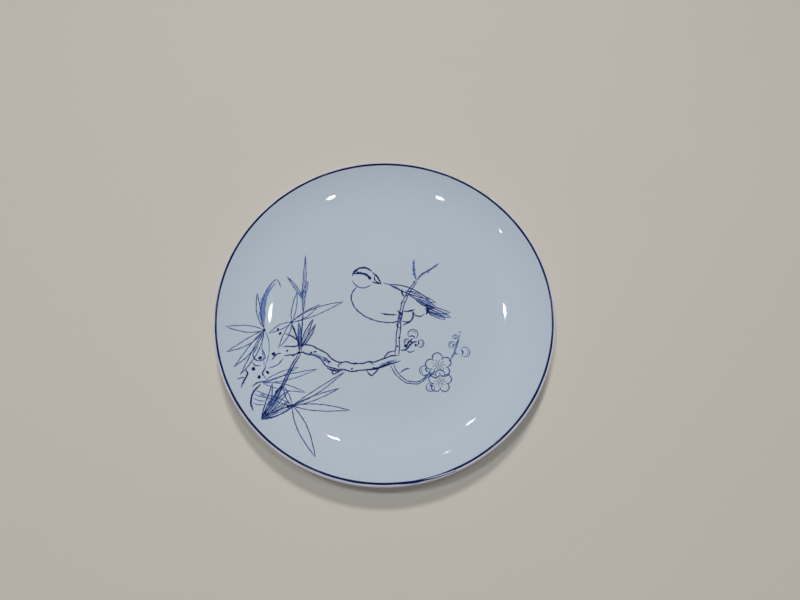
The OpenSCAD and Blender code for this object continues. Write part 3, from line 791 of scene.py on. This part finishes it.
class Colour:
    """Collects fired colour as low closed ridges on the face."""

    def __init__(self, seed):
        self.chance = random.Random(seed)
        self.verts, self.faces, self.ink = [], [], []
        self.count = 0

    def _place(self, x, y, ink, height):
        """Add points at a height above the face."""
        z = face_height(x, y) + height
        self.verts.append(np.stack([x, y, z], axis=-1).reshape(-1, 3))
        self.ink.append(np.broadcast_to(ink, x.shape).reshape(-1))
        self.count += x.size

    def _ribbon(self, p, offsets, ink):
        """A band along p. offsets and ink have a row for each point and a column for each place across."""
        side = sideways(p)
        height, ink = ridge_section(ink)
        offsets = np.column_stack([offsets, 0.8 * offsets[:, -1], 0.8 * offsets[:, 0]])
        x = p[:, :1] + side[:, :1] * offsets
        y = p[:, 1:] + side[:, 1:] * offsets
        self.faces += band_faces(*x.shape, self.count)
        self._place(x, y, ink, height)

    def stroke(self, points, width, ink):
        p, s = evenly(points, STROKE_STEP)
        length = s[-1]
        ends = np.clip(np.minimum(s, length - s) / min(TIP, length / 3), 0, 1)
        p = p + sideways(p) * (SWAY * ends * wander(s, self.chance, SWAY_WAVES))[:, None]
        half = LINE_WEIGHT * width / 2 * (TIP_WIDTH + (1 - TIP_WIDTH) * ends ** 0.55)
        half = half * (1 + WIDTH_VARIES * wander(s, self.chance, WIDTH_WAVES))
        load = ink * (TIP_INK + (1 - TIP_INK) * ends)
        load = np.clip(load * (1 + LOAD_VARIES * wander(s, self.chance, LOAD_WAVES)), 0, FULLEST)
        self._ribbon(p, half[:, None] * ACROSS, load[:, None] * ACROSS_INK)

    def wash(self, points, widths, ink):
        p, s = evenly(points, 2 * STROKE_STEP)
        share = s / s[-1]
        fade = np.clip(np.minimum(share, 1 - share) / WASH_FADE, 0, 1)
        half = np.interp(share, np.linspace(0, 1, len(widths)), widths) / 2 * (0.2 + 0.8 * fade ** 0.5)
        half = half * (1 + WASH_WIDTH_VARIES * wander(s, self.chance, WASH_WIDTH_WAVES))
        load = ink * fade ** 0.8 * (1 + WASH_LOAD_VARIES * wander(s, self.chance, WASH_LOAD_WAVES))
        across = np.linspace(-1, 1, WASH_PLACES)
        edge = np.clip((1 - across ** 2) ** 1.5 * 1.8, 0, 1)
        self._ribbon(p, half[:, None] * across, load[:, None] * edge)

    def dot(self, at, size, ink):
        angle = np.linspace(0, 2 * math.pi, DOT_AROUND, endpoint=False)
        tilt = self.chance.uniform(0, math.pi)
        squash = self.chance.uniform(0.62, 0.9)
        lumpy = 1 + 0.1 * np.sin(2 * angle + self.chance.uniform(0, 6)) + 0.07 * np.sin(3 * angle)
        size = LINE_WEIGHT * size
        reach = [size * k * lumpy for k, _ in DOT_RINGS] + [DOT_FOOT * size * lumpy]
        level = [ink * k for _, k in DOT_RINGS] + [0]
        height = [RIDGE_LOW + RIDGE_INK * k for k in level[:-2]] + [EDGE_DIP, SUNK]
        first = self.count
        self._place(np.array([at[0]]), np.array([at[1]]), ink, RIDGE_LOW + RIDGE_INK * ink)
        for r, k, h in zip(reach, level, height):
            x, y = r * np.cos(angle), squash * r * np.sin(angle)
            self._place(at[0] + x * math.cos(tilt) - y * math.sin(tilt),
                        at[1] + x * math.sin(tilt) + y * math.cos(tilt), k, h)
        self._dot_faces(first, len(reach))

    def _dot_faces(self, first, rings):
        """Fan round the dot's middle point, its rings, and the face that closes it below."""
        for i in range(DOT_AROUND):
            j = (i + 1) % DOT_AROUND
            self.faces.append([first, first + 1 + i, first + 1 + j])
            for k in range(rings - 1):
                a = first + 1 + k * DOT_AROUND
                self.faces.append([a + i, a + DOT_AROUND + i, a + DOT_AROUND + j, a + j])
        bottom = first + 1 + (rings - 1) * DOT_AROUND
        self.faces.append([bottom + i for i in reversed(range(DOT_AROUND))])

    def add(self, mark):
        if mark["kind"] == "stroke":
            self.stroke(mark["points"], mark["width"], mark["ink"])
        elif mark["kind"] == "wash":
            self.wash(mark["points"], mark["widths"], mark["ink"])
        else:
            self.dot(mark["at"], mark["size"], min(1, mark["ink"]))

    def piece(self, name):
        made = new_object(name, np.vstack(self.verts), self.faces)
        set_ink(made, np.concatenate(self.ink))
        return made


def paint(motif, seed):
    """The piece of one motif, whose strokes vary as the seed says."""
    colour = Colour(seed)
    for mark in motif():
        colour.add(mark)
    return colour.piece("ink_" + motif.__name__)


# ---- Line on the lip -----------------------------------------------------

# Where the bander's brush lands and lifts and how far the ends pass each other, in degrees,
# how far in the start and how far out the end stray from the line there, in mm, and over how
# many times the lap they do
BAND_JOIN = -71
BAND_LAP = 13
START_IN = 0.3
END_OUT = 1.6
STRAY_OVER = 1.5
BAND_STEPS = 1500
BAND_SEED = 40
# Across the line, in half-widths, and the share of its ink there
BAND_ACROSS = np.linspace(-1.25, 1.25, 17)
BAND_INK = np.clip((1.25 - abs(BAND_ACROSS)) / 0.45, 0, 1)
# Degrees of the lip's section to a millimetre
LIP_PER_MM = math.degrees(1 / LIP_R)


def band_course(turn, s):
    """Middle of the line in degrees of the lip's section, half its width in mm, and its ink."""
    chance = random.Random(BAND_SEED)
    lap = math.radians(BAND_LAP) * LIP_X
    from_end = np.minimum(s, s[-1] - s)
    near = np.clip(from_end / lap, 0, 1)
    stray = np.clip(1 - from_end / (STRAY_OVER * lap), 0, 1)
    drift = np.where(s < s[-1] / 2, START_IN, -END_OUT) * stray
    middle = BAND_AT + LIP_PER_MM * (drift + 0.05 * wander(s, chance, (140, 60, 23)))
    uneven = 1 + 0.07 * wander(s, chance, (120, 45, 17)) - 0.09 * np.cos(2 * turn)
    half = BAND_W / 2 * uneven * (0.3 + 0.7 * near ** 3)
    load = (1.0 + 0.07 * wander(s, chance, (90, 38, 15))) * (0.75 + 0.25 * near)
    return middle, half, np.clip(load, 0, 1.1)


def rim_band():
    """Line banded on the lip in one turn. Its two ends thin out and lie side by side where they meet."""
    turn = np.radians(np.linspace(BAND_JOIN - BAND_LAP / 2, BAND_JOIN + 360 + BAND_LAP / 2, BAND_STEPS))
    middle, half, load = band_course(turn, (turn - turn[0]) * LIP_X)
    across = np.radians(middle[:, None] + LIP_PER_MM * half[:, None] * BAND_ACROSS[::-1])
    across = np.column_stack([across, across[:, -1], across[:, 0]])
    height, ink = ridge_section(load[:, None] * BAND_INK)
    out = LIP_X + (LIP_R + height) * np.cos(across)
    up = LIP_Z + (LIP_R + height) * np.sin(across)
    verts = np.stack([out * np.cos(turn)[:, None], out * np.sin(turn)[:, None], up], axis=-1)
    made = new_object("ink_rim_line", verts.reshape(-1, 3), [f[::-1] for f in band_faces(*ink.shape)])
    set_ink(made, ink.reshape(-1))
    return made


# ---- The plate -----------------------------------------------------------

glaze = glaze_material()
cobalt = cobalt_material()
biscuit = biscuit_material()

face_stations = WELL_STEPS + WALL_STEPS
face = revolve("glazed_face", np.vstack([face_path(0), face_path(GLAZE_T, 2)[-2::-1]]), face_stations)
finish_piece(face, glaze, "face_glaze")

base = revolve("glazed_base", np.vstack([base_path(0), base_path(GLAZE_T)[-2::-1]]))
finish_piece(base, glaze, "base_glaze")

clay = revolve("biscuit_body", np.vstack([face_path(GLAZE_T, 2), contact_path(), base_path(GLAZE_T)[::-1]]))
finish_piece(clay, biscuit, "porcelain_body")

finish_piece(rim_band(), cobalt, "rim_line")
for seed, motif in enumerate(MOTIFS):
    finish_piece(paint(motif, seed), cobalt, motif.__name__)


# ---- Floor, light and camera --------------------------------------------

FLOOR_TONE = (0.78, 0.74, 0.67, 1)
FLOOR_CLOUD = (0.72, 0.685, 0.63, 1)
FLOOR_GRAIN_H = 0.0001
FLOOR_SIZE = 3.0


def floor_material():
    """Plain pale floor with faint clouds and a fine grain."""
    m = Nodes("pale_floor")
    place = m.add("ShaderNodeTexCoord").outputs["Object"]
    cloud = m.noise(place, 5, 5)
    colour = m.mix(m.spread(cloud, 0.3, 0.7, 0, 0.12), FLOOR_TONE, FLOOR_CLOUD)
    grain = m.noise(place, 700, 3)
    bump = m.add("ShaderNodeBump", {"Height": grain, "Strength": 0.15, "Distance": FLOOR_GRAIN_H})
    return m.surface(colour, 0.7, bump.outputs[0])


def make_floor():
    half = FLOOR_SIZE / 2 / MM
    corners = [(-half, -half, 0), (half, -half, 0), (half, half, 0), (-half, half, 0)]
    floor = new_object("floor", corners, [[0, 1, 2, 3]], smooth=False)
    floor.data.materials.append(floor_material())


def area_light(name, place, target, size, power, colour=(1, 1, 1)):
    """Round light that faces its target."""
    light = bpy.data.lights.new(name, "AREA")
    light.shape = "DISK"
    light.size = size
    light.energy = power
    light.color = colour
    lamp = bpy.data.objects.new(name, light)
    lamp.location = place
    lamp.rotation_euler = (Vector(target) - Vector(place)).to_track_quat("-Z", "Y").to_euler()
    bpy.context.scene.collection.objects.link(lamp)
    return lamp


# Small round ceiling lights that the glaze mirrors, in metres: two rows that run away from the camera,
# with three lights in the first and four in the second, and a smaller light apart
CEILING_H = 2.8
FIRST_LIGHT = (0.68, -0.6)
NEXT_IN_ROW = (-0.18, 1.55)
NEXT_ROW = (-1.35, -0.05)
ROW_COUNTS = (3, 4)
ROW_LIGHT_D = 0.115
LONE_LIGHT = (-1.7, -0.3)
LONE_LIGHT_D = 0.07
DOWNLIGHT_RADIANCE = 30
# Soft lamps that light the plate and cast its shadow, and that the glaze does not mirror:
# place, size and power
LAMPS = [((0, 1.02, 2.0), 0.33, 14.4), ((-0.43, 0.08, 2.0), 0.2, 6.5), ((0.23, 0.08, 2.0), 0.2, 3.3),
         ((0, -0.8, 2.0), 0.35, 3.6)]
LAMP_COLOUR = (1, 0.985, 0.965)
ROOM_COLOUR = (0.94, 0.965, 1.0, 1)
ROOM_STRENGTH = 0.085


def downlights():
    """Place across the room and diameter of each ceiling light."""
    lights = []
    for row, count in enumerate(ROW_COUNTS):
        for i in range(count):
            x, y = (FIRST_LIGHT[k] + row * NEXT_ROW[k] + i * NEXT_IN_ROW[k] for k in (0, 1))
            lights.append((x, y, ROW_LIGHT_D))
    return lights + [(*LONE_LIGHT, LONE_LIGHT_D)]


def make_room():
    """Even faint light from all round."""
    world = bpy.data.worlds.new("room")
    world.use_nodes = True
    back = world.node_tree.nodes["Background"]
    back.inputs["Color"].default_value = ROOM_COLOUR
    back.inputs["Strength"].default_value = ROOM_STRENGTH
    bpy.context.scene.world = world


def make_lights():
    """The soft lamps, and the ceiling lights straight down, which are only for their reflections."""
    for i, (place, size, power) in enumerate(LAMPS):
        lamp = area_light(f"lamp_{i}", place, (0, 0, 0), size, power, LAMP_COLOUR)
        lamp.visible_glossy = False
    for i, (x, y, size) in enumerate(downlights()):
        power = DOWNLIGHT_RADIANCE * math.pi * math.pi * (size / 2) ** 2
        mirrored = area_light(f"downlight_{i}", (x, y, CEILING_H), (x, y, 0), size, power)
        mirrored.visible_diffuse = False


# Lens and sensor width in mm, place in metres, and the turns of the view one after another, in degrees
CAMERA_LENS = 27.9
CAMERA_SENSOR = 36
CAMERA_PLACE = (0.0118, -0.1604, 0.4827)
CAMERA_TURNS = [("X", 20.256), ("Z", 2.46), ("Y", 0.046)]
NEAREST_SEEN = 0.01


def make_camera():
    camera = bpy.data.cameras.new("camera")
    camera.lens = CAMERA_LENS
    camera.sensor_width = CAMERA_SENSOR
    camera.clip_start = NEAREST_SEEN
    pose = Matrix.Translation(CAMERA_PLACE)
    for axis, degrees in CAMERA_TURNS:
        pose = pose @ Matrix.Rotation(math.radians(degrees), 4, axis)
    view = bpy.data.objects.new("camera", camera)
    view.matrix_world = pose
    bpy.context.scene.collection.objects.link(view)
    bpy.context.scene.camera = view


make_floor()
make_room()
make_lights()
make_camera()
bpy.context.scene.view_settings.view_transform = "Standard"
